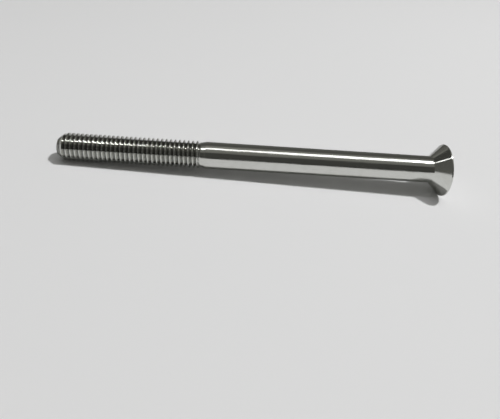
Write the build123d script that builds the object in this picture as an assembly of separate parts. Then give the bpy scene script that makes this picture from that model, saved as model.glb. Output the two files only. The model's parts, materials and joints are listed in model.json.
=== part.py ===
"""Countersunk socket screw, turned in one piece, with a long plain shank and a threaded end.

The screw is drawn upright in its own frame: +Z is its axis, z = 0 is the flat of the head and
z = overall_length is the end of the tip. It is then laid down as it comes to rest, head
towards +X, touching the ground plane z = 0 with the rim of the head and the thread's first crest.
All sizes are in millimetres and degrees.
"""

from build123d import *

import math
import os

# Whole screw
overall_length = 70.0  # flat of the head to end of the tip

# Head
head_diameter = 9.45
head_cone_angle = 90.0  # included angle of the countersunk seat
rim_land = 0.22  # narrow cylindrical land between the flat and the cone
rim_edge_break = 0.05  # chamfer that takes the burr off the rim
underhead_radius = 0.2  # fillet where the cone meets the shank

# Hexagon socket
socket_across_flats = 3.0
socket_depth = 2.4  # flat of the head to the end of the hexagon
socket_mouth_diameter = 3.78  # countersink that leads the key in
socket_mouth_angle = 90.0
drill_point_angle = 118.0  # cone left by the pilot drill, as wide as the flats
socket_turn = 10.0  # angle of the first corner about the axis

# Shank and neck
shank_diameter = 4.9
thread_length = 24.9  # end of the tip to the end of the last full crest
crest_end_angle = 45.0  # cone that takes the last crest down to the neck
neck_width = 0.5  # bare stretch at the diameter that the thread is rolled on
neck_taper_length = 0.9  # cone from the neck up to the shank

# Thread stock, at the crests of a right-handed metric thread
thread_pitch = 0.8
thread_nominal_diameter = 5.0
thread_allowance = 0.04  # taken off the nominal diameter, so that the screw enters its nut
pitch_diameter_share = 0.6495  # how far the pitch diameter lies under the nominal, in pitches

# Tip
tip_diameter = 3.1
tip_chamfer_length = 1.2

# Worked out from the above
head_radius = head_diameter / 2
shank_radius = shank_diameter / 2
crest_radius = (thread_nominal_diameter - thread_allowance) / 2
neck_radius = (thread_nominal_diameter - pitch_diameter_share * thread_pitch) / 2

cone_length = (head_radius - shank_radius) / math.tan(math.radians(head_cone_angle / 2))
cone_foot_z = rim_land + cone_length
first_crest_z = overall_length - tip_chamfer_length
crest_end_z = overall_length - thread_length
neck_z = crest_end_z - (crest_radius - neck_radius) / math.tan(math.radians(crest_end_angle))
taper_z = neck_z - neck_width
shank_end_z = taper_z - neck_taper_length

# At rest the rim's inner edge and the first crest both touch the ground
rest_angle = math.degrees(math.atan2(head_radius - crest_radius, first_crest_z - rim_land))


def turned_blank():
    """The screw as it leaves the lathe: head, shank, neck, thread stock and chamfered tip."""
    outline = Polyline(
        (0, 0, 0),
        (head_radius - rim_edge_break, 0, 0),
        (head_radius, 0, rim_edge_break),
        (head_radius, 0, rim_land),
        (shank_radius, 0, cone_foot_z),
        (shank_radius, 0, shank_end_z),
        (neck_radius, 0, taper_z),
        (neck_radius, 0, neck_z),
        (crest_radius, 0, crest_end_z),
        (crest_radius, 0, first_crest_z),
        (tip_diameter / 2, 0, overall_length),
        (0, 0, overall_length),
        close=True,
    )
    blank = revolve(make_face(outline), Axis.Z)
    cone_foot = blank.edges().filter_by(GeomType.CIRCLE).sort_by_distance((0, 0, cone_foot_z))[0]
    return fillet(cone_foot, underhead_radius)


def axial_cone(radius, included_angle, base_z):
    """A cone on the screw's axis, with its base at base_z and its point deeper in the screw."""
    length = radius / math.tan(math.radians(included_angle / 2))
    outline = Polyline((0, 0, base_z), (radius, 0, base_z), (0, 0, base_z + length), close=True)
    return revolve(make_face(outline), Axis.Z)


def hexagon_socket():
    """What the head loses: countersunk mouth, broached hexagon and the pilot drill's point."""
    corner_radius = socket_across_flats / math.sqrt(3)
    hexagon = extrude(RegularPolygon(corner_radius, 6, rotation=socket_turn), socket_depth)
    mouth = axial_cone(socket_mouth_diameter / 2, socket_mouth_angle, 0)
    drill_point = axial_cone(socket_across_flats / 2, drill_point_angle, socket_depth)
    return hexagon + mouth + drill_point


def screw_upright():
    """The finished screw on its own axis."""
    return turned_blank() - hexagon_socket()


def laid_down(screw):
    """Lays the screw on the ground, head towards +X, with its bounding box centred on X and Y."""
    sine = math.sin(math.radians(rest_angle))
    cosine = math.cos(math.radians(rest_angle))
    head_reach = (head_radius - rim_edge_break) * sine
    tip_reach = overall_length * cosine + tip_diameter / 2 * sine
    face_height = head_radius * cosine + rim_land * sine
    return Pos((tip_reach - head_reach) / 2, 0, face_height) * Rot(0, -90 - rest_angle, 0) * screw


if __name__ == "__main__":
    os.makedirs("parts", exist_ok=True)
    export_step(laid_down(screw_upright()), "parts/screw.step")
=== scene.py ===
"""Looks of a long countersunk screw with a hexagon socket, lying on a pale floor.

The screw is modelled upright in millimetres, as it would stand in a lathe: +Z is its axis, the flat
of the head is at z = 0 and the end of the tip is at z = length. It is then laid down onto the frame,
in metres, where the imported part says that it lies. Sizes are millimetres where nothing else is said.
"""

import json
import logging
import math
from dataclasses import dataclass
from enum import Enum

import bmesh
import bpy
from mathutils import Euler, Matrix, Vector


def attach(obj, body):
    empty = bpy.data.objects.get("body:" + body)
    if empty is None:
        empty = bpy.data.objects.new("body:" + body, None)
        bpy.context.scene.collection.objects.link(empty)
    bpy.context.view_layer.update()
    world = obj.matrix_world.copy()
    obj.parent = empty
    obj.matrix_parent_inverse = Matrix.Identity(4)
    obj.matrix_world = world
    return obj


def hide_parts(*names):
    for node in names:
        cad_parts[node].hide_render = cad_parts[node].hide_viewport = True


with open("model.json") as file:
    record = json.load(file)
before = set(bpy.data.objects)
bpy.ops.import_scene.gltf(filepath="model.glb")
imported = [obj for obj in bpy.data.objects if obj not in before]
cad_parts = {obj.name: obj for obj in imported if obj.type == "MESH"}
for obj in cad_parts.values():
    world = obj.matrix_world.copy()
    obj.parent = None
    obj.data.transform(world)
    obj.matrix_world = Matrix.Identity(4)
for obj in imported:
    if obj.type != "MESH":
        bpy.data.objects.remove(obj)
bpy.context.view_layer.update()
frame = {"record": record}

MM = 0.001
FACETS = 96
FULL_TURN = 2 * math.pi
SHARP_ANGLE = math.radians(31)
# How far a fillet of radius 1 reaches along each side of a 45 degree corner.
FILLET_REACH = math.tan(math.radians(45 / 2))
# Distances in millimetres that count as none: between points, from a cut and from a level.
SAME_POINT = 0.001
ON_CUT = 1e-5
SAME_LEVEL = 1e-4

log = logging.getLogger("screw")

Mesh = bmesh.types.BMesh
Edges = list[bmesh.types.BMEdge]
Node = bpy.types.Node
Socket = bpy.types.NodeSocket
Outline = list[tuple[float, float]]
Pairs = tuple[tuple[float, float], ...]
Colour = tuple[float, float, float, float]
Fill = float | tuple | Vector | Euler | Socket


class Region(Enum):
    """The finished surfaces of the screw, numbered as the piece's material slots."""

    POLISHED = 0
    TURNED = 1
    FACED = 2
    BROACHED = 3
    ROLLED = 4


# --- Where the frame puts the screw ---


@dataclass(frozen=True)
class Lie:
    """How the screw lies in the frame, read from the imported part's mounts.

    Args:
        face_centre: Centre of the head's flat, in metres.
        towards_tip: Unit vector along the screw's axis, from head to tip.
        length: Flat of the head to end of the tip, in millimetres.
    """

    face_centre: Vector
    towards_tip: Vector
    length: float

    @classmethod
    def from_mounts(cls, mounts: dict[str, dict]) -> "Lie":
        """Reads the two ends of the screw from the mounts.

        Args:
            mounts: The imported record's mounts, by name.

        Returns:
            The screw's place in the frame.
        """
        face_centre = Vector(mounts["key_socket"]["pos_m"])
        tip_end = Vector(mounts["thread"]["pos_m"])
        along = tip_end - face_centre
        return cls(face_centre, along.normalized(), along.length / MM)

    def basis(self) -> Matrix:
        """Returns the turn from the upright screw to the lying one, its own X kept uppermost."""
        upwards = Vector((0, 0, 1))
        own_x = (upwards - self.towards_tip * self.towards_tip.z).normalized()
        own_y = self.towards_tip.cross(own_x)
        return Matrix((own_x, own_y, self.towards_tip)).transposed()

    def matrix(self) -> Matrix:
        """Returns the whole move from upright millimetres to metres in the frame."""
        return Matrix.Translation(self.face_centre) @ self.basis().to_4x4() @ Matrix.Scale(MM, 4)


# --- Mesh helpers ---


def arc(centre: tuple[float, float], radius: float, start: float, end: float, steps: int) -> Outline:
    """Lays points along an arc of an outline.

    Args:
        centre: Centre as distance from the axis and height along it.
        radius: Radius of the arc.
        start: First angle in degrees, 0 pointing away from the axis and 90 towards the tip.
        end: Last angle in degrees.
        steps: Number of stretches between the points.

    Returns:
        The points, both ends among them.
    """
    points = []
    for step in range(steps + 1):
        angle = math.radians(start + (end - start) * step / steps)
        points.append((centre[0] + radius * math.cos(angle), centre[1] + radius * math.sin(angle)))
    return points


def turn(mesh: Mesh, outline: Outline | Pairs, slot: int = 0) -> None:
    """Turns an outline a full revolution about the axis.

    Args:
        mesh: The mesh that takes the new faces.
        outline: Distance from the axis and height of each point.
        slot: The material slot of the new faces.
    """
    before = len(mesh.faces)
    points = [mesh.verts.new((radius, 0, height)) for radius, height in outline]
    lines = [mesh.edges.new(pair) for pair in zip(points, points[1:])]
    bmesh.ops.spin(
        mesh, geom=points + lines, cent=(0, 0, 0), axis=(0, 0, 1),
        angle=FULL_TURN, steps=FACETS, use_merge=True,
    )
    mesh.faces.ensure_lookup_table()
    for face in mesh.faces[before:]:
        face.material_index = slot


def distance_from_axis(point: Vector) -> float:
    """Returns how far a point is from the screw's axis."""
    return math.hypot(point.x, point.y)


def reach_to(vert: bmesh.types.BMVert, radius: float) -> None:
    """Moves a vertex straight in or out, to that distance from the axis.

    Args:
        vert: The vertex, which isn't on the axis.
        radius: Its new distance from the axis.
    """
    scale = radius / distance_from_axis(vert.co)
    vert.co.x *= scale
    vert.co.y *= scale


def ring(mesh: Mesh, radius: float, height: float) -> Edges:
    """Finds the edges of one turned ring.

    Args:
        mesh: The mesh to look in.
        radius: The ring's distance from the axis.
        height: The ring's height along the axis.

    Returns:
        The edges with both ends on the ring.
    """
    slack = 0.002

    def on_ring(vert: bmesh.types.BMVert) -> bool:
        """Returns whether a vertex lies on the ring."""
        near = abs(distance_from_axis(vert.co) - radius) < slack
        return near and abs(vert.co.z - height) < slack

    return [edge for edge in mesh.edges if all(on_ring(vert) for vert in edge.verts)]


def corners(edges: Edges) -> set[bmesh.types.BMVert]:
    """Returns the vertices at the ends of edges."""
    return {vert for edge in edges for vert in edge.verts}


def round_off(mesh: Mesh, edges: Edges, width: float, steps: int) -> None:
    """Rounds edges over with a bevel.

    Args:
        mesh: The mesh that the edges belong to.
        edges: The edges to round.
        width: How far the rounding reaches onto each side.
        steps: Number of facets across the rounding.
    """
    bmesh.ops.bevel(
        mesh, geom=edges, offset=width, offset_type="OFFSET", segments=steps,
        profile=0.5, affect="EDGES", clamp_overlap=True, material=-1,
    )


def draw_out(mesh: Mesh, edges: Edges, radius: float, height: float) -> Edges:
    """Extrudes a closed loop of edges to a new ring on the axis.

    Args:
        mesh: The mesh that the loop belongs to.
        edges: The open loop.
        radius: The new ring's distance from the axis.
        height: The new ring's height along the axis.

    Returns:
        The new ring's edges.
    """
    made = bmesh.ops.extrude_edge_only(mesh, edges=edges)["geom"]
    moved = {item for item in made if isinstance(item, bmesh.types.BMVert)}
    for vert in moved:
        reach_to(vert, radius)
        vert.co.z = height
    lines = [item for item in made if isinstance(item, bmesh.types.BMEdge)]
    return [line for line in lines if all(vert in moved for vert in line.verts)]


def show(name: str, mesh: Mesh) -> bpy.types.Object:
    """Makes an object of a finished mesh, at the origin, and puts it in the scene.

    Args:
        name: The object's name.
        mesh: Its mesh, which is used up.

    Returns:
        The new object.
    """
    data = bpy.data.meshes.new(name)
    mesh.to_mesh(data)
    mesh.free()
    made = bpy.data.objects.new(name, data)
    bpy.context.scene.collection.objects.link(made)
    return made


# --- The screw ---


@dataclass(frozen=True)
class Head:
    """Countersunk head with its hexagon socket.

    Args:
        radius: Radius of the rim.
        shank_radius: Radius where the cone ends.
        across_flats: Width of the hexagon.
        socket_depth: Flat of the head to the end of the hexagon.
        rim_land: Height of the straight rim.
        edge_break: How far the rim's edge on the flat is broken.
        foot_radius: Radius of the fillet under the cone.
        mouth_radius: Radius of the socket's countersunk mouth.
        drill_share: The pilot drill's diameter, as a share of the hexagon's width.
        drill_angle: Angle of the drill's point, in degrees.
        socket_turn: How far the socket is turned about the axis, in degrees.
        guard: Distance from a corner at which a ring keeps the shading even.
        edge_rounding: How far the rim's rounding reaches onto each side.
        mouth_fillet: Radius of the rounding round the mouth.
        foot_facets: Facets across the fillet under the cone.
        edge_facets: Facets across the broader roundings.
        fine_facets: Facets across the finer roundings.
    """

    radius: float
    shank_radius: float
    across_flats: float
    socket_depth: float
    rim_land: float = 0.22
    edge_break: float = 0.05
    foot_radius: float = 0.2
    mouth_radius: float = 1.89
    drill_share: float = 0.985
    drill_angle: float = 118.0
    socket_turn: float = 10.0
    guard: float = 0.07
    edge_rounding: float = 0.025
    mouth_fillet: float = 0.06
    foot_facets: int = 8
    edge_facets: int = 3
    fine_facets: int = 2

    def foot(self) -> float:
        """Returns the height where the 45 degree cone would meet the shank."""
        return self.rim_land + self.radius - self.shank_radius

    def shank_start(self) -> float:
        """Returns the height where the fillet under the cone ends."""
        return self.foot() + self.foot_radius * FILLET_REACH

    def seam(self) -> float:
        """Returns the height where the head's mesh ends and the shank's starts."""
        return self.shank_start() + self.guard

    def hexagon_reach(self, angle: float) -> float:
        """Returns the hexagon's distance from the axis, at an angle from one of its corners."""
        from_flat = (angle % math.radians(60)) - math.radians(30)
        return self.across_flats / 2 / math.cos(from_flat)

    def mouth_round(self) -> Outline:
        """Returns the rounding round the socket's mouth, from its countersink to the flat."""
        centre = (self.mouth_radius + self.mouth_fillet * FILLET_REACH, self.mouth_fillet)
        return arc(centre, self.mouth_fillet, -135, -90, self.edge_facets)

    def turn_outside(self, mesh: Mesh) -> None:
        """Turns the flat, the rim and the cone, down to the seam with the shank.

        Args:
            mesh: The screw's mesh.
        """
        flat_edge = self.radius - self.edge_break
        flat = self.mouth_round() + [(flat_edge - self.guard, 0), (flat_edge, 0)]
        cone = [
            (flat_edge, 0),
            (self.radius, self.edge_break),
            (self.radius, self.rim_land),
            (self.radius - self.guard, self.rim_land + self.guard),
            (self.shank_radius + 2 * self.guard, self.foot() - 2 * self.guard),
            (self.shank_radius, self.foot()),
            (self.shank_radius, self.seam()),
        ]
        turn(mesh, flat, Region.FACED.value)
        turn(mesh, cone, Region.TURNED.value)

    def turn_recess(self, mesh: Mesh) -> None:
        """Turns the recess round, with its countersunk mouth and the pilot drill's cone.

        Args:
            mesh: The screw's mesh.
        """
        inscribed = self.across_flats / 2
        drill = inscribed * self.drill_share
        point = self.socket_depth + drill / math.tan(math.radians(self.drill_angle / 2))
        bore = [
            self.mouth_round()[0],
            (inscribed, self.mouth_radius - inscribed),
            (inscribed, self.socket_depth),
            (drill, self.socket_depth),
            (drill / 2, (self.socket_depth + point) / 2),
            (0, point),
        ]
        turn(mesh, bore, Region.BROACHED.value)

    def broach(self, mesh: Mesh) -> None:
        """Pushes the recess's wall out to the hexagon, up to where it meets the mouth's cone.

        Args:
            mesh: The screw's mesh, with its doubles merged.
        """
        inscribed = self.across_flats / 2
        lip = ring(mesh, inscribed, self.mouth_radius - inscribed)
        base = ring(mesh, inscribed, self.socket_depth)
        for vert in corners(lip):
            reach_to(vert, self.hexagon_reach(math.atan2(vert.co.y, vert.co.x)))
            vert.co.z = self.mouth_radius - distance_from_axis(vert.co)
        for vert in corners(base):
            reach_to(vert, self.hexagon_reach(math.atan2(vert.co.y, vert.co.x)))

    def soften(self, mesh: Mesh) -> None:
        """Rounds the head's edges and the fillet under its cone.

        Args:
            mesh: The screw's mesh, already broached.
        """
        fine = self.edge_rounding / 2
        rings = (
            (self.shank_radius, self.foot(), self.foot_radius * FILLET_REACH, self.foot_facets),
            (self.radius, self.rim_land, self.edge_rounding, self.edge_facets),
            (self.radius, self.edge_break, fine, self.fine_facets),
            (self.radius - self.edge_break, 0, fine, self.fine_facets),
        )
        for radius, height, width, facets in rings:
            round_off(mesh, ring(mesh, radius, height), width, facets)


@dataclass(frozen=True)
class Shank:
    """Plain polished shank, with the neck that the thread runs out on.

    Args:
        radius: Radius of the shank.
        start: Height of the seam with the head.
        end: Height where the taper to the neck starts.
        neck_radius: Radius of the neck.
        taper_length: Length of the taper.
        neck_overlap: Length of neck that is turned with the shank.
        guard: Distance from the taper at which a ring keeps the shading even.
        ring_spacing: Spacing of the rings along the plain shank.
        taper_rounding: How far the rounding of the taper's corner reaches onto each side.
        taper_facets: Facets across that rounding.
    """

    radius: float
    start: float
    end: float
    neck_radius: float
    taper_length: float = 0.9
    neck_overlap: float = 0.03
    guard: float = 0.1
    ring_spacing: float = 1.6
    taper_rounding: float = 0.05
    taper_facets: int = 4

    def neck_start(self) -> float:
        """Returns the height where the taper meets the neck."""
        return self.end + self.taper_length

    def turn_outside(self, mesh: Mesh) -> None:
        """Turns the shank, the taper and the start of the neck.

        Args:
            mesh: The screw's mesh.
        """
        plain = self.end - self.guard - self.start
        rings = round(plain / self.ring_spacing)
        outline = [
            (self.radius, self.start + plain * step / rings) for step in range(rings + 1)
        ]
        outline += [
            (self.radius, self.end),
            (self.neck_radius, self.neck_start()),
            (self.neck_radius, self.neck_start() + self.neck_overlap),
        ]
        turn(mesh, outline, Region.POLISHED.value)

    def soften(self, mesh: Mesh) -> None:
        """Rounds the corner between shank and taper.

        Args:
            mesh: The screw's mesh.
        """
        round_off(mesh, ring(mesh, self.radius, self.end), self.taper_rounding, self.taper_facets)


@dataclass(frozen=True)
class ThreadedEnd:
    """Rolled right-handed thread with its run-out, and the chamfered tip.

    Args:
        crest_radius: Radius over the crests.
        neck_radius: Radius of the neck, where the thread runs out.
        neck_end: Height where the mesh of the threaded end starts.
        length: Flat of the head to end of the tip.
        pitch: Distance from one crest to the next.
        crest_width_share: Width of the flat crest, as a share of the pitch.
        root_rounding_share: Radius of the root's rounding, as a share of the pitch.
        crest_rounding: Radius of the rounding along the crest's edges.
        flank_angle: Angle of each flank from square to the axis, in degrees.
        last_crest_from_tip: End of the tip to the last crest, where each turn starts.
        run_out_start: End of the tip to where the thread rises from the neck.
        run_out_end: End of the tip to where the thread is at its full height.
        tip_radius: Radius of the end of the tip's cone.
        tip_length: Length of the tip's cone.
        tip_edge_break: How far the edge of the end face is broken.
        tip_eye: Radius of the innermost ring of the end face.
        arc_steps: Stretches along each rounding of the section.
        weld: Distance within which the turns' points are merged.
    """

    crest_radius: float
    neck_radius: float
    neck_end: float
    length: float
    pitch: float = 0.8
    crest_width_share: float = 0.17
    root_rounding_share: float = 0.135
    crest_rounding: float = 0.028
    flank_angle: float = 30.0
    last_crest_from_tip: float = 24.9
    run_out_start: float = 25.75
    run_out_end: float = 24.9
    tip_radius: float = 1.55
    tip_length: float = 1.2
    tip_edge_break: float = 0.04
    tip_eye: float = 0.01
    arc_steps: int = 3
    weld: float = 0.003

    def valley_radius(self) -> float:
        """Returns where two flanks would meet if the root weren't rounded."""
        flank_width = self.pitch * (1 - self.crest_width_share) / 2
        return self.crest_radius - flank_width / math.tan(math.radians(self.flank_angle))

    def outline(self) -> Outline:
        """Returns one pitch of the thread's section, from the middle of one root to the next."""
        root = self.root_rounding_share * self.pitch
        root_centre = self.valley_radius() + root / math.sin(math.radians(self.flank_angle))
        corner = self.crest_rounding
        half_crest = self.crest_width_share * self.pitch / 2
        shift = corner * math.tan(math.radians(self.flank_angle))
        steps = self.arc_steps
        rising = arc((root_centre, -self.pitch / 2), root, 180, 90 + self.flank_angle, steps)
        near = arc((self.crest_radius - corner, shift - half_crest), corner, -60, 0, steps)
        half = rising + near
        other = [(radius, -height) for radius, height in reversed(half)]
        return half + other

    def roll(self, mesh: Mesh) -> None:
        """Sweeps the thread's section round and up the axis, one turn after another.

        Args:
            mesh: An empty mesh.
        """
        start = self.length - self.last_crest_from_tip - 3 * self.pitch
        points = [mesh.verts.new((radius, 0, height + start)) for radius, height in self.outline()]
        lines = [mesh.edges.new(pair) for pair in zip(points, points[1:])]
        bmesh.ops.spin(
            mesh, geom=points + lines, cent=(0, 0, 0), axis=(0, 0, 1), angle=FULL_TURN,
            dvec=(0, 0, self.pitch / FACETS), steps=FACETS, use_merge=False,
        )
        first_turn = mesh.verts[:] + mesh.edges[:] + mesh.faces[:]
        turns = math.ceil((self.length - start) / self.pitch) + 1
        for number in range(1, turns):
            copy = bmesh.ops.duplicate(mesh, geom=first_turn)["geom"]
            verts = [item for item in copy if isinstance(item, bmesh.types.BMVert)]
            bmesh.ops.translate(mesh, verts=verts, vec=(0, 0, number * self.pitch))
        bmesh.ops.remove_doubles(mesh, verts=mesh.verts, dist=self.weld)

    def trim(self, mesh: Mesh, height: float, keep_above: bool) -> None:
        """Cuts the thread off square to the axis.

        Args:
            mesh: The thread's mesh.
            height: Height of the cut.
            keep_above: True if what lies nearer the tip stays.
        """
        everything = mesh.verts[:] + mesh.edges[:] + mesh.faces[:]
        bmesh.ops.bisect_plane(
            mesh, geom=everything, dist=ON_CUT, plane_co=(0, 0, height), plane_no=(0, 0, 1),
            clear_inner=keep_above, clear_outer=not keep_above,
        )

    def chamfer_tip(self, mesh: Mesh) -> None:
        """Cuts the crests down to the tip's cone, with a crisp line where the two meet.

        The mesh is sheared along the axis by its distance from it, so that the cone becomes a
        plane that the mesh can be divided on. What lies outside it is then pressed onto the cone.

        Args:
            mesh: The thread's mesh, already trimmed at the tip.
        """
        slope = (self.crest_radius - self.tip_radius) / self.tip_length
        cone_height = self.length + self.tip_radius / slope
        for vert in mesh.verts:
            vert.co.z += distance_from_axis(vert.co) / slope
        everything = mesh.verts[:] + mesh.edges[:] + mesh.faces[:]
        bmesh.ops.bisect_plane(
            mesh, geom=everything, dist=ON_CUT, plane_co=(0, 0, cone_height), plane_no=(0, 0, 1),
        )
        for vert in mesh.verts:
            vert.co.z -= distance_from_axis(vert.co) / slope
            limit = (cone_height - vert.co.z) * slope
            if distance_from_axis(vert.co) > limit:
                reach_to(vert, limit)

    def run_out(self, mesh: Mesh) -> None:
        """Fades crests and roots alike to the neck, as a rolling die leaves them.

        Args:
            mesh: The thread's mesh.
        """
        bare = self.length - self.run_out_start
        full = self.length - self.run_out_end
        for vert in mesh.verts:
            share = min(max((vert.co.z - bare) / (full - bare), 0), 1)
            share = share * share * (3 - 2 * share)
            radius = distance_from_axis(vert.co)
            reach_to(vert, self.neck_radius + (radius - self.neck_radius) * share)

    def close_tip(self, mesh: Mesh) -> None:
        """Takes the burr off the tip's edge and closes its end face.

        Args:
            mesh: The thread's mesh, trimmed and chamfered.
        """
        top = max(vert.co.z for vert in mesh.verts)
        rim = [
            edge for edge in mesh.edges
            if edge.is_boundary and all(top - vert.co.z < SAME_LEVEL for vert in edge.verts)
        ]
        inner = self.tip_radius - self.tip_edge_break
        before = set(mesh.faces)
        for radius in (inner, inner - 2 * self.tip_edge_break, inner / 2, self.tip_eye):
            rim = draw_out(mesh, rim, radius, self.length)
        bmesh.ops.pointmerge(mesh, verts=list(corners(rim)), merge_co=(0, 0, self.length))
        for face in mesh.faces:
            if face not in before:
                face.material_index = Region.POLISHED.value

    def build(self) -> Mesh:
        """Returns the finished threaded end, open only at the neck."""
        mesh = bmesh.new()
        self.roll(mesh)
        self.trim(mesh, self.length - self.tip_edge_break, keep_above=False)
        self.chamfer_tip(mesh)
        self.run_out(mesh)
        self.trim(mesh, self.neck_end, keep_above=True)
        for face in mesh.faces:
            face.material_index = Region.ROLLED.value
        self.close_tip(mesh)
        return mesh


@dataclass
class Screw:
    """The whole screw, as one closed piece.

    Args:
        lie: How it lies in the frame.
        head: Its countersunk head.
        shank: Its plain shank and neck.
        thread: Its threaded end.
        name: Name of the piece.
        join_gap: How far past the taper the mesh of the threaded end starts.
        allowance: How much smaller the crests' diameter is than the thread's nominal one.
        neck_depth_share: Depth of the neck below the nominal radius, as a share of the pitch.
    """

    lie: Lie
    head: Head
    shank: Shank
    thread: ThreadedEnd
    name: str = "screw_body"
    join_gap: float = 0.04
    allowance: float = 0.04
    neck_depth_share: float = 0.32475

    @classmethod
    def from_frame(cls, record: dict) -> "Screw":
        """Works out the screw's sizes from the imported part.

        Args:
            record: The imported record.

        Returns:
            The screw, not yet built.
        """
        mounts = {mount["name"]: mount for mount in record["mounts"]}
        lie = Lie.from_mounts(mounts)
        shank_size = mounts["shank"]["dims"]
        socket_size = mounts["key_socket"]["dims"]
        crest_radius = mounts["thread"]["dims"]["r_mm"]
        neck_radius = crest_radius + cls.allowance / 2 - cls.neck_depth_share * ThreadedEnd.pitch
        head = Head(
            radius=mounts["cone_seat"]["dims"]["r_mm"], shank_radius=shank_size["r_mm"],
            across_flats=2 * socket_size["r_mm"], socket_depth=socket_size["length_mm"],
        )
        shank_start = head.shank_start()
        shank = Shank(
            radius=shank_size["r_mm"], start=head.seam(),
            end=shank_start + shank_size["length_mm"], neck_radius=neck_radius,
        )
        thread = ThreadedEnd(
            crest_radius=crest_radius, neck_radius=neck_radius,
            neck_end=shank.neck_start() + cls.join_gap, length=lie.length,
        )
        return cls(lie, head, shank, thread)

    def turn_blank(self) -> Mesh:
        """Returns the head and shank, open only at the neck."""
        mesh = bmesh.new()
        self.head.turn_outside(mesh)
        self.head.turn_recess(mesh)
        self.shank.turn_outside(mesh)
        bmesh.ops.remove_doubles(mesh, verts=mesh.verts, dist=SAME_POINT)
        bmesh.ops.recalc_face_normals(mesh, faces=mesh.faces)
        self.head.broach(mesh)
        self.head.soften(mesh)
        self.shank.soften(mesh)
        turned = Matrix.Rotation(math.radians(self.head.socket_turn), 3, "Z")
        bmesh.ops.rotate(mesh, cent=(0, 0, 0), matrix=turned, verts=mesh.verts)
        return mesh

    def join(self, blank: Mesh, thread: Mesh) -> None:
        """Adds the threaded end to the blank and closes the gap at the neck.

        Args:
            blank: Head and shank, which takes the rest.
            thread: The threaded end, which is used up.
        """
        loose = bpy.data.meshes.new("threaded_end")
        thread.to_mesh(loose)
        thread.free()
        blank.from_mesh(loose)
        bpy.data.meshes.remove(loose)
        open_edges = [edge for edge in blank.edges if edge.is_boundary]
        made = bmesh.ops.bridge_loops(blank, edges=open_edges)["faces"]
        for face in made:
            face.material_index = Region.POLISHED.value

    def build(self) -> bpy.types.Object:
        """Models the screw, lays it down and hands it to the frame.

        Returns:
            The finished piece, with no materials yet.
        """
        mesh = self.turn_blank()
        self.join(mesh, self.thread.build())
        bmesh.ops.recalc_face_normals(mesh, faces=mesh.faces)
        for face in mesh.faces:
            face.smooth = True
        for edge in mesh.edges:
            edge.smooth = edge.calc_face_angle(0) < SHARP_ANGLE
        open_edges = sum(not edge.is_manifold for edge in mesh.edges)
        triangles = sum(len(face.verts) - 2 for face in mesh.faces)
        bmesh.ops.transform(mesh, matrix=self.lie.matrix(), verts=mesh.verts)
        piece = show(self.name, mesh)
        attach(piece, "root")
        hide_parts("screw")
        log.info("%s: %d triangles, %d open edges", self.name, triangles, open_edges)
        return piece

    def dress(self, piece: bpy.types.Object) -> None:
        """Gives each region of the piece its finish.

        Args:
            piece: The built piece.
        """
        for region in Region:
            piece.data.materials.append(FINISHES[region].build(self.lie))


# --- Finishes ---


class NodeSheet:
    """Adds nodes to one node tree and joins them up."""

    def __init__(self, tree: bpy.types.NodeTree) -> None:
        """Takes the tree that is to be filled."""
        self.tree = tree

    def fill(self, node: Node, inputs: dict[str | int, Fill]) -> Node:
        """Fills a node's inputs.

        Args:
            node: The node.
            inputs: What goes into each input: a plain value, or another node's output.

        Returns:
            The same node.
        """
        for key, value in inputs.items():
            if isinstance(value, Socket):
                self.tree.links.new(value, node.inputs[key])
            else:
                node.inputs[key].default_value = value
        return node

    def add(self, kind: str, inputs: dict[str | int, Fill], **settings: object) -> Node:
        """Adds one node, sets it up and fills its inputs.

        Args:
            kind: The node's type.
            inputs: What goes into each input.
            settings: The node's own settings.

        Returns:
            The new node.
        """
        node = self.tree.nodes.new(kind)
        for name, value in settings.items():
            setattr(node, name, value)
        return self.fill(node, inputs)

    def math(self, operation: str, *values: Fill) -> Socket:
        """Returns the result of one sum, product or the like."""
        return self.add("ShaderNodeMath", dict(enumerate(values)), operation=operation).outputs[0]

    def vector(self, operation: str, *values: Fill) -> Node:
        """Returns a node that works on vectors."""
        return self.add("ShaderNodeVectorMath", dict(enumerate(values)), operation=operation)

    def along(self, place: Fill) -> Socket:
        """Returns how far along the screw a place is, from the flat of the head."""
        return self.add("ShaderNodeSeparateXYZ", {0: place}).outputs["Z"]

    def from_axis(self, place: Fill) -> Socket:
        """Returns how far from the screw's axis a place is."""
        flat = self.vector("MULTIPLY", place, (1, 1, 0)).outputs[0]
        return self.vector("LENGTH", flat).outputs["Value"]

    def fade(
        self, value: Fill, low: Fill, high: Fill, at_low: float = 0, at_high: float = 1
    ) -> Socket:
        """Turns a value into a soft step.

        Args:
            value: What is looked at.
            low: Where the step starts.
            high: Where the step ends.
            at_low: Result up to the start.
            at_high: Result past the end.

        Returns:
            The stepped value.
        """
        limits = {
            "Value": value, "From Min": low, "From Max": high, "To Min": at_low, "To Max": at_high,
        }
        return self.add("ShaderNodeMapRange", limits, interpolation_type="SMOOTHSTEP").outputs[0]

    def noise(self, place: Fill, scale: float, detail: float) -> Socket:
        """Returns cloudy noise about 0.5."""
        settings = {"Vector": place, "Scale": scale, "Detail": detail, "Roughness": 0.55}
        return self.add("ShaderNodeTexNoise", settings).outputs[0]

    def tint(self, share: Fill, plain: Fill, tinted: Fill) -> Socket:
        """Returns a mix of two colours."""
        return self.add("ShaderNodeMix", {0: share, 6: plain, 7: tinted}, data_type="RGBA").outputs[2]


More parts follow.
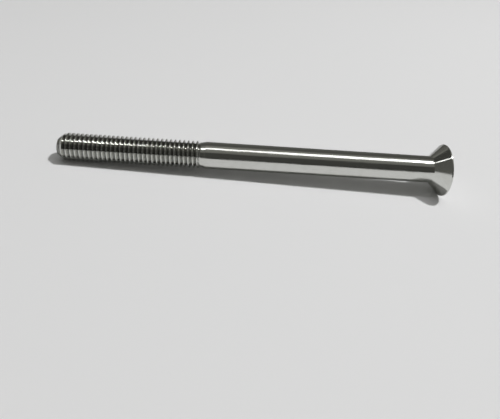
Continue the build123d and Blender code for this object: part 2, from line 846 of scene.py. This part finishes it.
class MarkGroup:
    """A pattern of marks that several finishes share, as one node group."""

    name = "marks"
    sockets: dict[str, str] = {}
    outputs: tuple[str, ...] = ("Mask",)

    @classmethod
    def tree(cls) -> bpy.types.NodeTree:
        """Returns the group's node tree, which is built only once."""
        if cls.name in bpy.data.node_groups:
            return bpy.data.node_groups[cls.name]
        tree = bpy.data.node_groups.new(cls.name, "ShaderNodeTree")
        for name, kind in cls.sockets.items():
            tree.interface.new_socket(name, in_out="INPUT", socket_type="NodeSocket" + kind)
        for name in cls.outputs:
            tree.interface.new_socket(name, in_out="OUTPUT", socket_type="NodeSocketFloat")
        given = tree.nodes.new("NodeGroupInput").outputs
        sheet = NodeSheet(tree)
        sheet.add("NodeGroupOutput", cls.draw(sheet, given))
        return tree

    @classmethod
    def draw(cls, sheet: NodeSheet, given: bpy.types.NodeOutputs) -> dict[str, Socket]:
        """Lays out the pattern's nodes; each kind of mark has its own.

        Args:
            sheet: The group's empty sheet.
            given: The group's inputs.

        Returns:
            What goes to each output.
        """
        raise NotImplementedError

    @classmethod
    def put(cls, sheet: NodeSheet, **inputs: Fill) -> bpy.types.NodeOutputs:
        """Puts the group on a material's sheet, with that material's values, for its outputs."""
        return sheet.add("ShaderNodeGroup", inputs, node_tree=cls.tree()).outputs


class CutterLines(MarkGroup):
    """Fine rings that a cutting edge leaves as it travels over turned work."""

    name = "cutter_lines"
    sockets = {"Place": "Vector", "Travel": "Float", "Spacing": "Float"}
    outputs = ("Height",)

    @classmethod
    def draw(cls, sheet: NodeSheet, given: bpy.types.NodeOutputs) -> dict[str, Socket]:
        """Draws uneven rings that come and go round the work.

        Args:
            sheet: The group's empty sheet.
            given: The group's inputs.

        Returns:
            The rings' height.
        """
        turns = sheet.math("DIVIDE", given["Travel"], given["Spacing"])
        uneven = {"W": turns, "Scale": 1, "Detail": 2.5}
        rings = sheet.add("ShaderNodeTexNoise", uneven, noise_dimensions="1D").outputs[0]
        clouds = sheet.noise(given["Place"], scale=0.9, detail=1)
        patches = sheet.fade(clouds, 0.35, 0.62, at_low=0.35)
        return {"Height": sheet.math("MULTIPLY", rings, patches)}


class DrawLines(MarkGroup):
    """Lines along the screw, from drawing the bar and from sliding about in a box."""

    name = "draw_lines"
    sockets = {"Place": "Vector", "Length": "Float", "Width": "Float", "Share": "Float"}
    outputs = ("Height", "Mask")
    start_at_none = 0.72
    start_drop = -0.3
    softness = 0.07

    @classmethod
    def draw(cls, sheet: NodeSheet, given: bpy.types.NodeOutputs) -> dict[str, Socket]:
        """Draws stretched noise, and picks the strongest of it in patches.

        Args:
            sheet: The group's empty sheet.
            given: The group's inputs.

        Returns:
            The lines' height, and where the strong ones are.
        """
        sizes = {"X": given["Width"], "Y": given["Width"], "Z": given["Length"]}
        size = sheet.add("ShaderNodeCombineXYZ", sizes).outputs[0]
        stretched = sheet.vector("DIVIDE", given["Place"], size).outputs[0]
        lines = sheet.noise(stretched, scale=1, detail=2)
        start = sheet.math("MULTIPLY_ADD", given["Share"], cls.start_drop, cls.start_at_none)
        strong = sheet.fade(lines, start, sheet.math("ADD", start, cls.softness))
        patches = sheet.fade(sheet.noise(given["Place"], scale=0.45, detail=2), 0.42, 0.58)
        return {"Height": lines, "Mask": sheet.math("MULTIPLY", strong, patches)}


class Specks(MarkGroup):
    """Small pits and specks, scattered over the metal."""

    name = "specks"
    sockets = {"Place": "Vector", "Spacing": "Float", "Size": "Float", "Share": "Float"}

    @classmethod
    def draw(cls, sheet: NodeSheet, given: bpy.types.NodeOutputs) -> dict[str, Socket]:
        """Draws a dot in some cells of a scattered grid.

        Args:
            sheet: The group's empty sheet.
            given: The group's inputs.

        Returns:
            Where the dots are.
        """
        spacing = dict.fromkeys("XYZ", given["Spacing"])
        cell = sheet.add("ShaderNodeCombineXYZ", spacing).outputs[0]
        place = sheet.vector("DIVIDE", given["Place"], cell).outputs[0]
        cells = sheet.add("ShaderNodeTexVoronoi", {"Vector": place, "Scale": 1}).outputs
        core = sheet.math("MULTIPLY", given["Size"], 0.5)
        dot = sheet.fade(cells["Distance"], core, given["Size"], at_low=1, at_high=0)
        lot = sheet.add("ShaderNodeSeparateColor", {0: cells["Color"]}).outputs[0]
        chosen = sheet.math("LESS_THAN", lot, given["Share"])
        return {"Mask": sheet.math("MULTIPLY", dot, chosen)}


class EdgeWear(MarkGroup):
    """Rubbed metal along an edge, broken up as handling leaves it."""

    name = "edge_wear"
    sockets = {"Place": "Vector", "Distance": "Float", "Reach": "Float"}

    @classmethod
    def draw(cls, sheet: NodeSheet, given: bpy.types.NodeOutputs) -> dict[str, Socket]:
        """Draws a band that thins out away from the edge.

        Args:
            sheet: The group's empty sheet.
            given: The group's inputs.

        Returns:
            Where the metal is rubbed.
        """
        band = sheet.fade(given["Distance"], 0, given["Reach"], at_low=1, at_high=0)
        clouds = sheet.noise(given["Place"], scale=2.6, detail=3)
        broken = sheet.fade(clouds, 0.38, 0.6, at_low=0.25)
        return {"Mask": sheet.math("MULTIPLY", band, broken)}


@dataclass(frozen=True)
class Marks:
    """What a finish's patterns say of each place on the metal.

    Args:
        film_and_shade: How dark the metal is, from 0 to 1: grime, and painted shade in hollows.
        wear: Where the metal is roughest, from 0 to 1.
        height: Height of the marks, from 0 to 1.
    """

    film_and_shade: Socket
    wear: Socket
    height: Socket


@dataclass(frozen=True)
class SteelFinish:
    """Bare stainless steel, as one step of its making leaves it.

    Args:
        name: Name of the material.
        metal: Colour of the clean metal.
        film_and_shade: Darker colour: grime in patches, and painted shade in low places.
        smooth: Roughness of the cleanest metal.
        rough: Roughness where the marks are strongest.
        mark_height: Height of the marks.
        edge_tint: How much less the metal shines where it is seen almost edge on.
        grain: How one-sided the shine is, from 0 to 1.
    """

    name: str
    metal: Colour
    film_and_shade: Colour
    smooth: float
    rough: float
    mark_height: float
    edge_tint: Colour = (0.55, 0.55, 0.55, 1)
    grain: float = 0.0

    def draw(self, sheet: NodeSheet, place: Socket) -> Marks:
        """Lays out the finish's patterns; each finish has its own.

        Args:
            sheet: The material's sheet.
            place: The place on the upright screw.

        Returns:
            The finish's marks.
        """
        raise NotImplementedError

    def build(self, lie: Lie) -> bpy.types.Material:
        """Makes the material.

        Args:
            lie: How the screw lies, which the patterns follow.

        Returns:
            The material.
        """
        made = bpy.data.materials.new(self.name)
        made.use_nodes = True
        sheet = NodeSheet(made.node_tree)
        upright = {
            "Vector": sheet.add("ShaderNodeTexCoord", {}).outputs["Object"],
            "Location": lie.face_centre, "Rotation": lie.basis().to_euler(), "Scale": (MM, MM, MM),
        }
        place = sheet.add("ShaderNodeMapping", upright, vector_type="TEXTURE").outputs[0]
        marks = self.draw(sheet, place)
        relief = {"Height": marks.height, "Strength": 1, "Distance": self.mark_height * MM}
        metal = made.node_tree.nodes["Principled BSDF"]
        sheet.fill(metal, {
            "Metallic": 1, "Specular Tint": self.edge_tint,
            "Base Color": sheet.tint(marks.film_and_shade, self.metal, self.film_and_shade),
            "Roughness": sheet.fade(marks.wear, 0, 1, self.smooth, self.rough),
            "Normal": sheet.add("ShaderNodeBump", relief).outputs[0],
        })
        if self.grain:
            across = sheet.add("ShaderNodeCombineXYZ", dict(enumerate(lie.towards_tip))).outputs[0]
            sheet.fill(metal, {"Anisotropic": self.grain, "Tangent": across})
        return made


@dataclass(frozen=True)
class PolishedFinish(SteelFinish):
    """Drawn bright, with hairlines along it and a few pits.

    Args:
        line_length: Length of the broad draw lines.
        line_width: Their width.
        hair_length: Length of the hairlines.
        hair_width: Their width.
        ring_spacing: Spacing of the faint rings under the polish.
    """

    line_length: float = 6.0
    line_width: float = 0.3
    hair_length: float = 7.0
    hair_width: float = 0.06
    ring_spacing: float = 0.12

    def draw(self, sheet: NodeSheet, place: Socket) -> Marks:
        """Lays lines, hairs, faint rings and pits over each other.

        Args:
            sheet: The material's sheet.
            place: The place on the upright screw.

        Returns:
            The marks of the shank, the neck and the tip's end.
        """
        lines = DrawLines.put(
            sheet, Place=place, Length=self.line_length, Width=self.line_width, Share=0.6
        )
        hairs = DrawLines.put(
            sheet, Place=place, Length=self.hair_length, Width=self.hair_width, Share=0.35
        )
        rings = CutterLines.put(
            sheet, Place=place, Travel=sheet.along(place), Spacing=self.ring_spacing
        )["Height"]
        pits = Specks.put(sheet, Place=place, Spacing=0.45, Size=0.14, Share=0.14)["Mask"]
        clouds = sheet.fade(sheet.noise(place, scale=0.5, detail=3), 0.45, 0.75, at_high=0.3)
        film_and_shade = sheet.math("MULTIPLY_ADD", lines["Mask"], 0.35, clouds)
        wear = sheet.math("MULTIPLY_ADD", lines["Mask"], 0.2, hairs["Mask"])
        height = sheet.math("ADD", hairs["Height"], lines["Height"])
        height = sheet.math("MULTIPLY_ADD", rings, 0.3, height)
        height = sheet.math("MULTIPLY_ADD", pits, -0.6, height)
        return Marks(sheet.math("MAXIMUM", film_and_shade, pits), sheet.math("MAXIMUM", wear, pits), height)


@dataclass(frozen=True)
class TurnedFinish(SteelFinish):
    """Cut on the lathe: fine grooves round it, which draw every highlight out into a line.

    Args:
        grain: How one-sided the shine is, from 0 to 1.
        groove_spacing: Spacing of the finest grooves.
        feed_spacing: Spacing of the coarser feed marks.
    """

    grain: float = 0.95
    groove_spacing: float = 0.03
    feed_spacing: float = 0.14

    def draw(self, sheet: NodeSheet, place: Socket) -> Marks:
        """Lays grooves, feed marks and pits over each other.

        Args:
            sheet: The material's sheet.
            place: The place on the upright screw.

        Returns:
            The marks of the head's cone and rim.
        """
        travel = sheet.math("SUBTRACT", sheet.along(place), sheet.from_axis(place))
        grooves, feed = (
            CutterLines.put(sheet, Place=place, Travel=travel, Spacing=spacing)["Height"]
            for spacing in (self.groove_spacing, self.feed_spacing)
        )
        pits = Specks.put(sheet, Place=place, Spacing=0.5, Size=0.12, Share=0.15)["Mask"]
        clouds = sheet.noise(place, scale=0.8, detail=3)
        film_and_shade = sheet.math("MAXIMUM", sheet.fade(clouds, 0.45, 0.75, at_high=0.3), pits)
        wear = sheet.math("MAXIMUM", sheet.fade(clouds, 0.35, 0.65, at_high=0.6), pits)
        height = sheet.math("MULTIPLY_ADD", grooves, 0.5, feed)
        return Marks(film_and_shade, wear, sheet.math("MULTIPLY_ADD", pits, -1, height))


@dataclass(frozen=True)
class FacedFinish(SteelFinish):
    """Faced flat with fine rings, satin, rubbed bright along its edges.

    Args:
        edge_radius: Radius of the flat's outer edge.
        mouth_radius: Radius of its inner edge.
        ring_spacing: Spacing of the rings.
        rubbed_reach: How far from an edge the metal is rubbed.
    """

    edge_radius: float = 4.675
    mouth_radius: float = 1.89
    ring_spacing: float = 0.05
    rubbed_reach: float = 0.22

    def draw(self, sheet: NodeSheet, place: Socket) -> Marks:
        """Lays rings, pits and rubbed edges over each other.

        Args:
            sheet: The material's sheet.
            place: The place on the upright screw.

        Returns:
            The marks of the head's flat.
        """
        radius = sheet.from_axis(place)
        rings = CutterLines.put(sheet, Place=place, Travel=radius, Spacing=self.ring_spacing)["Height"]
        pits = Specks.put(sheet, Place=place, Spacing=0.6, Size=0.13, Share=0.3)["Mask"]
        from_rim = sheet.math("SUBTRACT", self.edge_radius, radius)
        from_mouth = sheet.math("SUBTRACT", radius, self.mouth_radius)
        nearest = sheet.math("MINIMUM", from_rim, from_mouth)
        rubbed = EdgeWear.put(sheet, Place=place, Distance=nearest, Reach=self.rubbed_reach)["Mask"]
        clouds = sheet.noise(place, scale=0.7, detail=3)
        film_and_shade = sheet.math("MAXIMUM", sheet.fade(clouds, 0.5, 0.8, at_high=0.3), pits)
        wear = sheet.math("SUBTRACT", sheet.fade(clouds, 0.3, 0.7, at_low=0.35), rubbed)
        return Marks(film_and_shade, wear, sheet.math("MULTIPLY_ADD", pits, -1.2, rings))


@dataclass(frozen=True)
class BroachedFinish(SteelFinish):
    """Scraped lengthwise by the broach, with painted shade that darkens it with depth.

    Args:
        depth: Depth of the hexagon.
        scrape_length: Length of the scrapes.
        scrape_width: Their width.
    """

    depth: float = 2.4
    scrape_length: float = 5.0
    scrape_width: float = 0.06

    def draw(self, sheet: NodeSheet, place: Socket) -> Marks:
        """Lays scrapes and painted shade, darker with depth, over each other.

        Args:
            sheet: The material's sheet.
            place: The place on the upright screw.

        Returns:
            The marks of the socket.
        """
        scrapes = DrawLines.put(
            sheet, Place=place, Length=self.scrape_length, Width=self.scrape_width, Share=0.8
        )
        # Painted shade: darker colour deeper in the socket, which also roughens its walls.
        depth_shade = sheet.fade(sheet.along(place), self.depth / 6, self.depth, at_low=0.1, at_high=0.9)
        clouds = sheet.fade(sheet.noise(place, scale=1.6, detail=3), 0.35, 0.65, at_low=0.6)
        wear = sheet.math("MAXIMUM", scrapes["Mask"], sheet.math("MULTIPLY", depth_shade, 0.5))
        return Marks(sheet.math("MULTIPLY", depth_shade, clouds), wear, scrapes["Height"])


@dataclass(frozen=True)
class RolledFinish(SteelFinish):
    """Pressed smooth by the dies, with scuffed crests and painted shade down in each root.

    Args:
        root_radius: Radius at the roots.
        crest_radius: Radius over the crests.
        flow_spacing: Spacing of the lines that the metal's flow left.
        scuff_depth: How far below the crests the scuffs reach.
    """

    root_radius: float = 1.99
    crest_radius: float = 2.48
    flow_spacing: float = 0.06
    scuff_depth: float = 0.07

    def draw(self, sheet: NodeSheet, place: Socket) -> Marks:
        """Lays flow lines, scuffs, pits and the painted shade of each root over each other.

        Args:
            sheet: The material's sheet.
            place: The place on the upright screw.

        Returns:
            The marks of the thread.
        """
        radius = sheet.from_axis(place)
        flow = CutterLines.put(sheet, Place=place, Travel=radius, Spacing=self.flow_spacing)["Height"]
        to_crest = sheet.math("SUBTRACT", self.crest_radius, radius)
        scuffs = EdgeWear.put(sheet, Place=place, Distance=to_crest, Reach=self.scuff_depth)["Mask"]
        halfway = (self.root_radius + self.crest_radius) / 2
        # Painted shade: darker colour down in each root, which also roughens it a little.
        root_shade = sheet.fade(radius, self.root_radius, halfway, at_low=0.85, at_high=0)
        pits = Specks.put(sheet, Place=place, Spacing=0.3, Size=0.2, Share=0.12)["Mask"]
        wear = sheet.math("MAXIMUM", sheet.math("MULTIPLY", scuffs, 0.8), pits)
        wear = sheet.math("MAXIMUM", wear, sheet.math("MULTIPLY", root_shade, 0.4))
        height = sheet.math("MULTIPLY_ADD", scuffs, -0.6, flow)
        return Marks(sheet.math("MAXIMUM", root_shade, pits), wear, height)


BRIGHT = (0.665, 0.67, 0.64, 1)
BRIGHT_FILM = (0.54, 0.545, 0.51, 1)
FINISHES: dict[Region, SteelFinish] = {
    Region.POLISHED: PolishedFinish(
        "polished_steel", BRIGHT, BRIGHT_FILM, smooth=0.04, rough=0.2, mark_height=0.006,
    ),
    Region.TURNED: TurnedFinish(
        "turned_steel", BRIGHT, BRIGHT_FILM, smooth=0.1, rough=0.13, mark_height=0.0006,
    ),
    Region.FACED: FacedFinish(
        "faced_steel", metal=(0.74, 0.745, 0.715, 1), film_and_shade=(0.55, 0.55, 0.52, 1),
        smooth=0.16, rough=0.3, mark_height=0.001,
    ),
    # The socket's darker colour is painted shade, laid on deeper in the socket.
    Region.BROACHED: BroachedFinish(
        "broached_steel", metal=(0.6, 0.605, 0.575, 1), film_and_shade=(0.2, 0.2, 0.18, 1),
        smooth=0.2, rough=0.45, mark_height=0.003,
    ),
    # Its darker colour is painted shade down in each root, and the colour of its pits.
    Region.ROLLED: RolledFinish(
        "rolled_steel", metal=(0.62, 0.625, 0.595, 1), film_and_shade=(0.2, 0.2, 0.185, 1),
        smooth=0.035, rough=0.07, mark_height=0.0012,
    ),
}


# --- Studio ---


def plain_material(name: str, look: dict[str, Fill]) -> bpy.types.Material:
    """Makes a material with no pattern.

    Args:
        name: The material's name.
        look: The shader's inputs, by name.

    Returns:
        The material.
    """
    made = bpy.data.materials.new(name)
    made.use_nodes = True
    NodeSheet(made.node_tree).fill(made.node_tree.nodes["Principled BSDF"], look)
    return made


@dataclass(frozen=True)
class Lamp:
    """One soft square lamp, aimed at the middle of the floor.

    Args:
        name: Its name.
        direction: From the floor towards the lamp.
        size: Its width in metres.
        power: Its power in watts.
        distance: How far off it hangs, in metres.
    """

    name: str
    direction: tuple[float, float, float]
    size: float
    power: float
    distance: float = 1.0

    def build(self) -> None:
        """Hangs the lamp."""
        data = bpy.data.lights.new(self.name, "AREA")
        data.size = self.size
        data.energy = self.power
        lamp = bpy.data.objects.new(self.name, data)
        towards = Vector(self.direction).normalized()
        turned = towards.to_track_quat("Z", "Y").to_matrix().to_4x4()
        lamp.matrix_world = Matrix.Translation(towards * self.distance) @ turned
        bpy.context.scene.collection.objects.link(lamp)


@dataclass(frozen=True)
class Softbox:
    """Long overhead panel in line with the screw, wider towards the head.

    Args:
        outline: Where each station lies along X, then its two edges along Y, in metres.
        height: How high it hangs, in metres.
        strength: Brightness of its surface.
    """

    outline: tuple[tuple[float, float, float], ...] = (
        (-0.45, -0.085, -0.02), (-0.12, -0.12, 0.04), (0.0, -0.1, 0.035), (0.1, -0.15, 0.1),
        (0.2, -0.15, 0.14), (0.28, -0.16, 0.17), (0.38, -0.1, 0.17), (0.55, -0.08, 0.17),
    )
    height: float = 1.0
    strength: float = 2.4

    def build(self) -> None:
        """Hangs the panel."""
        mesh = bmesh.new()
        sides = [
            [mesh.verts.new((along, edge, self.height)) for edge in edges]
            for along, *edges in self.outline
        ]
        for (low, high), (next_low, next_high) in zip(sides, sides[1:]):
            mesh.faces.new((low, high, next_high, next_low))
        panel = show("overhead_softbox", mesh)
        look = {
            "Base Color": (0, 0, 0, 1), "Emission Color": (1, 1, 1, 1),
            "Emission Strength": self.strength,
        }
        panel.data.materials.append(plain_material("softbox_cloth", look))


@dataclass(frozen=True)
class Floor:
    """Pale round floor whose rim turns up a little, far away.

    Args:
        outline: Distance from the middle and height of each point, in metres.
        colour: The paint's colour.
        roughness: How matt the paint is.
        gloss: How much of a clear coat's shine it has.
    """

    outline: Pairs = (
        (0.0, 0.0), (1.5, 0.0), (1.9, 0.01), (2.2, 0.035), (2.4, 0.075), (2.6, 0.13),
    )
    colour: Colour = (0.81, 0.81, 0.818, 1)
    roughness: float = 0.9
    gloss: float = 0.1

    def build(self) -> None:
        """Lays the floor."""
        mesh = bmesh.new()
        turn(mesh, self.outline)
        bmesh.ops.remove_doubles(mesh, verts=mesh.verts, dist=SAME_POINT * MM)
        bmesh.ops.recalc_face_normals(mesh, faces=mesh.faces)
        for face in mesh.faces:
            face.smooth = True
        floor = show("floor", mesh)
        look = {
            "Base Color": self.colour, "Roughness": self.roughness, "Specular IOR Level": self.gloss,
        }
        floor.data.materials.append(plain_material("floor_paint", look))


@dataclass(frozen=True)
class Room:
    """Dim room round the studio: grey behind the screw, dark before it, paler past its head.

    The bands give an angle in degrees, from the horizon behind over the top to the horizon in
    front, and how bright the room is there.

    Args:
        bands: The room above the screw.
        tip_side: The room past the screw's tip.
        tip_side_from: How far towards the tip that starts, and how far it is full.
        head_side: How bright the room is past the head.
        head_side_from: How far towards the head that starts, and how far it is full.
        warmth: How much of its blue the room keeps.
    """

    bands: Pairs = (
        (0, 0.13), (14, 0.14), (30, 0.13), (44, 0.08), (60, 0.11), (74, 0.3),
        (106, 0.26), (112, 0.2), (127, 0.18), (129, 0.06), (180, 0.055),
    )
    tip_side: Pairs = (
        (0, 0.6), (14, 0.45), (29, 0.3), (32, 0.055), (68, 0.055), (76, 0.1), (180, 0.11),
    )
    tip_side_from: tuple[float, float] = (0.4, 0.6)
    head_side: float = 0.35
    head_side_from: tuple[float, float] = (0.55, 0.95)
    warmth: float = 0.92

    def ramp(self, sheet: NodeSheet, half_turns: Fill, bands: Pairs) -> Socket:
        """Turns an angle into the brightness of one part of the room.

        Args:
            sheet: The room's sheet.
            half_turns: The angle, in half turns.
            bands: Angles in degrees, and the brightness at each.

        Returns:
            The brightness, as a grey.
        """
        ramp = sheet.add("ShaderNodeValToRGB", {0: half_turns})
        stops = ramp.color_ramp.elements
        while len(stops) < len(bands):
            stops.new(1)
        for stop, (angle, level) in zip(stops, bands):
            stop.position = angle / 180
            stop.color = (level, level, level * self.warmth, 1)
        return ramp.outputs[0]

    def build(self) -> None:
        """Puts the room round the scene."""
        world = bpy.data.worlds.new("room")
        world.use_nodes = True
        sheet = NodeSheet(world.node_tree)
        towards = sheet.add("ShaderNodeTexCoord", {}).outputs["Generated"]
        parts = sheet.add("ShaderNodeSeparateXYZ", {0: towards}).outputs
        half_turns = sheet.math("DIVIDE", sheet.math("ARCTAN2", parts["Z"], parts["Y"]), math.pi)
        past_tip = sheet.fade(sheet.math("MULTIPLY", parts["X"], -1), *self.tip_side_from)
        past_head = sheet.fade(parts["X"], *self.head_side_from)
        pale = (self.head_side, self.head_side, self.head_side, 1)
        above = self.ramp(sheet, half_turns, self.bands)
        room = sheet.tint(past_tip, above, self.ramp(sheet, half_turns, self.tip_side))
        light = world.node_tree.nodes["Background"].inputs["Color"]
        world.node_tree.links.new(sheet.tint(past_head, room, pale), light)
        bpy.context.scene.world = world


@dataclass(frozen=True)
class Camera:
    """The camera, by what it aims at.

    Args:
        aim: The point on the floor that it looks at, in metres.
        distance: Aim to camera, in metres.
        azimuth: Angle of the view from +Y towards +X, in degrees.
        elevation: Angle of the camera above the floor, in degrees.
        roll: Turn about the view, in degrees, that lifts the right of the picture's horizon.
        lens: Focal length in millimetres.
        shift: Shift of the lens along the picture's width and height, in picture widths.
        sensor: Width of the sensor, in millimetres.
        nearest: Distance of the nearest thing that it can see, in metres.
    """

    aim: tuple[float, float, float]
    distance: float
    azimuth: float
    elevation: float
    roll: float
    lens: float
    shift: tuple[float, float]
    sensor: float = 36.0
    nearest: float = 0.005

    def build(self) -> None:
        """Places the camera and makes it the scene's own."""
        azimuth = math.radians(self.azimuth)
        elevation = math.radians(self.elevation)
        forward = Vector((
            math.sin(azimuth) * math.cos(elevation),
            math.cos(azimuth) * math.cos(elevation),
            -math.sin(elevation),
        ))
        level = forward.cross(Vector((0, 0, 1))).normalized()
        right = Matrix.Rotation(math.radians(-self.roll), 3, forward) @ level
        data = bpy.data.cameras.new("camera")
        data.lens = self.lens
        data.sensor_width = self.sensor
        data.shift_x, data.shift_y = self.shift
        data.clip_start = self.nearest
        camera = bpy.data.objects.new("camera", data)
        position = Vector(self.aim) - forward * self.distance
        turned = Matrix((right, right.cross(forward), -forward)).transposed().to_4x4()
        camera.matrix_world = Matrix.Translation(position) @ turned
        bpy.context.scene.collection.objects.link(camera)
        bpy.context.scene.camera = camera


LAMPS = (
    Lamp("key_lamp", direction=(0.43, 0.02, 0.9), size=0.07, power=5.8),
    Lamp("second_lamp", direction=(-0.4, -0.05, 0.915), size=0.12, power=0.3),
    Lamp("low_lamp", direction=(-0.81, 0.18, 0.56), size=0.06, power=0.05),
)
CAMERA = Camera(
    aim=(-0.000508, 0.015007, 0), distance=0.1014, azimuth=2.2224, elevation=27.6127,
    roll=6.3715, lens=34.142, shift=(0.0017, -0.1452),
)


def main() -> None:
    """Builds the screw and the studio, and reports each piece."""
    logging.basicConfig(level=logging.INFO, format="%(message)s")
    screw = Screw.from_frame(frame["record"])
    piece = screw.build()
    screw.dress(piece)
    Floor().build()
    Room().build()
    Softbox().build()
    for lamp in LAMPS:
        lamp.build()
    CAMERA.build()
    bpy.context.scene.view_settings.view_transform = "Standard"


if __name__ == "__main__":
    main()
